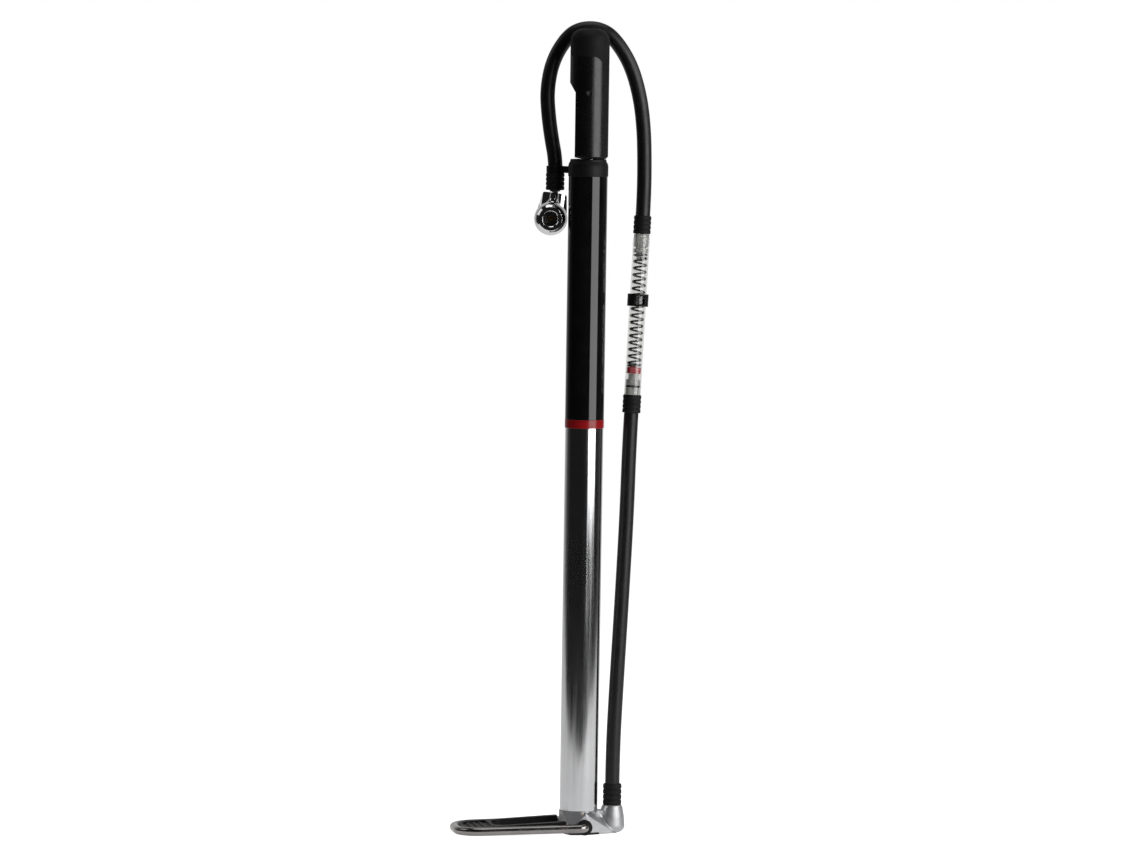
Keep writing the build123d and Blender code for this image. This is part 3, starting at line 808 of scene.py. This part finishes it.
CARRIED = {
    "base_sole": (RIBBED, 0.3), "seat_seal": (RIBBED, 0.0),
    "check_seat": (NYLON, 0.1), "check_ball": (STEEL, 0.0), "base_barb": (STEEL, 0.1),
    "foot_washers": (MATTE, 0.0), "foot_set_screws": (BRASS, 0.1), "rod_bush": (NYLON, 0.1),
    "rod_wiper": (RIBBED, 0.1), "hose_clip": (MATTE, 0.3), "piston_rod": (STEEL, 0.0),
    "piston": (NYLON, 0.2), "piston_cup": (RIBBED, 0.1), "piston_bolt": (STEEL, 0.2),
    "rod_bumper": (RIBBED, 0.2), "rod_eye": (STEEL, 0.25), "handle_core": (GLOSS, 0.25),
    "handle_grip": (GRIP, 0.25), "handle_pin": (STEEL, 0.2), "handle_washers": (NYLON, 0.1),
    "gauge_lower_plug": (FROSTED, 0.15), "gauge_seal": (RIBBED, 0.1),
    "gauge_piston": (RED_PLASTIC, 0.15), "gauge_marker": (MATTE, 0.3),
    "gauge_upper_plug": (FROSTED, 0.15), "head_barb": (CHROME, 0.1), "head_body": (CHROME, 0.2),
    "head_plunger": (STEEL, 0.2), "depressor_pin": (BRASS, 0.1), "head_lever": (CHROME, 0.3),
    "lever_pin": (CHROME, 0.15)}

for name, (material, width) in CARRIED.items():
    node = cad[name]
    node.data.materials.clear()
    node.data.materials.append(material)
    if width:
        softened(node, width)


# ---------------------------------------------------------------- stage and light


def soft_light(name, azimuth, distance, bottom, top, width, radiance):
    """An upright soft light beside the pump, its azimuth measured to the camera's right."""
    data = bpy.data.lights.new(name, "AREA")
    data.shape = "RECTANGLE"
    data.size = width
    data.size_y = top - bottom
    data.energy = radiance * math.pi * data.size * data.size_y
    light = bpy.data.objects.new(name, data)
    scene.collection.objects.link(light)
    angle = AZIMUTH + math.radians(azimuth)
    place = Vector((math.sin(angle) * distance, -math.cos(angle) * distance, (bottom + top) / 2))
    back = Vector((place.x, place.y, 0))
    light.matrix_world = Matrix.Translation(place) @ back.to_track_quat("Z", "Y").to_matrix().to_4x4()


def top_light(name, height, size, radiance):
    """A round soft light over the pump."""
    data = bpy.data.lights.new(name, "AREA")
    data.shape = "DISK"
    data.size = size
    data.energy = radiance * math.pi * math.pi * size * size / 4
    light = bpy.data.objects.new(name, data)
    scene.collection.objects.link(light)
    light.location = (0.0, 0.0, height)


def make_world():
    """White to the eye and through clear plastic; a dim room with a pale back wall in reflections."""
    world = bpy.data.worlds.new("studio")
    scene.world = world
    world.use_nodes = True
    tree = world.node_tree
    tree.nodes.clear()
    output = tree.nodes.new("ShaderNodeOutputWorld")
    seen = tree.nodes.new("ShaderNodeBackground")
    seen.inputs["Color"].default_value = (1, 1, 1, 1)
    seen.inputs["Strength"].default_value = 1.0
    room = tree.nodes.new("ShaderNodeBackground")
    room.inputs["Strength"].default_value = 1.0
    place = tree.nodes.new("ShaderNodeTexCoord")
    mapping = tree.nodes.new("ShaderNodeMapping")
    mapping.inputs["Rotation"].default_value = (0, 0, -AZIMUTH)
    split = tree.nodes.new("ShaderNodeSeparateXYZ")
    walls = tree.nodes.new("ShaderNodeMapRange")
    walls.inputs["From Min"].default_value = -1.0
    ramp = tree.nodes.new("ShaderNodeValToRGB")
    stops = ramp.color_ramp.elements
    stops[0].position = 0.50
    stops[0].color = (0.012, 0.012, 0.012, 1)
    stops[1].position = 0.97
    stops[1].color = (0.55, 0.55, 0.55, 1)
    middle = stops.new(0.72)
    middle.color = (0.07, 0.07, 0.07, 1)
    rays = tree.nodes.new("ShaderNodeLightPath")
    either = tree.nodes.new("ShaderNodeMath")
    either.operation = "MAXIMUM"
    mix = tree.nodes.new("ShaderNodeMixShader")
    links = tree.links
    links.new(place.outputs["Generated"], mapping.inputs["Vector"])
    links.new(mapping.outputs["Vector"], split.inputs["Vector"])
    links.new(split.outputs["Y"], walls.inputs["Value"])
    links.new(walls.outputs["Result"], ramp.inputs["Fac"])
    links.new(ramp.outputs["Color"], room.inputs["Color"])
    links.new(rays.outputs["Is Camera Ray"], either.inputs[0])
    links.new(rays.outputs["Is Transmission Ray"], either.inputs[1])
    links.new(either.outputs["Value"], mix.inputs["Fac"])
    links.new(room.outputs["Background"], mix.inputs[1])
    links.new(seen.outputs["Background"], mix.inputs[2])
    links.new(mix.outputs["Shader"], output.inputs["Surface"])


def make_floor():
    """A pale floor, dimmer in reflections, that ends close in front so that the tube mirrors the room."""
    look = Look("pale_floor", (0.80, 0.80, 0.80), 0.9)
    look.colour(look.noise(6.0, 4.0), (0.79, 0.79, 0.79), (0.82, 0.82, 0.82))
    look.shader.inputs["Emission Color"].default_value = (1, 1, 1, 1)
    rays = look.tree.nodes.new("ShaderNodeLightPath")
    glow = look.tree.nodes.new("ShaderNodeMapRange")
    glow.inputs["To Min"].default_value = 0.36
    glow.inputs["To Max"].default_value = 0.92
    look.link(rays.outputs["Is Camera Ray"], glow, "Value")
    look.link(glow.outputs["Result"], look.shader, "Emission Strength")
    front, shoulder, behind, side = -0.5, 0.5, 3.0, 1.3
    outline = rounded([
        (-0.36, front, 0.3), (0.7, front, 0.3), (side, shoulder, 0.3), (side, behind, 0.5),
        (-side, behind, 0.5), (-side, shoulder, 0.3)], 16)
    bm = bmesh.new()
    bm.faces.new([bm.verts.new((x, y, 0)) for x, y in outline])
    mesh = bpy.data.meshes.new("floor")
    bm.to_mesh(mesh)
    bm.free()
    mesh.transform(Matrix.Rotation(AZIMUTH, 4, "Z"))
    floor = bpy.data.objects.new("floor", mesh)
    scene.collection.objects.link(floor)
    mesh.materials.append(look.material)
    floor.location.z = cad_low.z


make_world()
make_floor()
soft_light("key", azimuth=49.0, distance=1.5, bottom=0.12, top=1.35, width=1.24, radiance=3.8)
soft_light("left", azimuth=-95.0, distance=1.3, bottom=0.75, top=1.7, width=0.7, radiance=0.8)
soft_light("right", azimuth=88.0, distance=1.3, bottom=0.72, top=1.5, width=0.7, radiance=2.2)
top_light("overhead", height=2.2, size=1.6, radiance=1.2)
scene.view_settings.view_transform = "Standard"
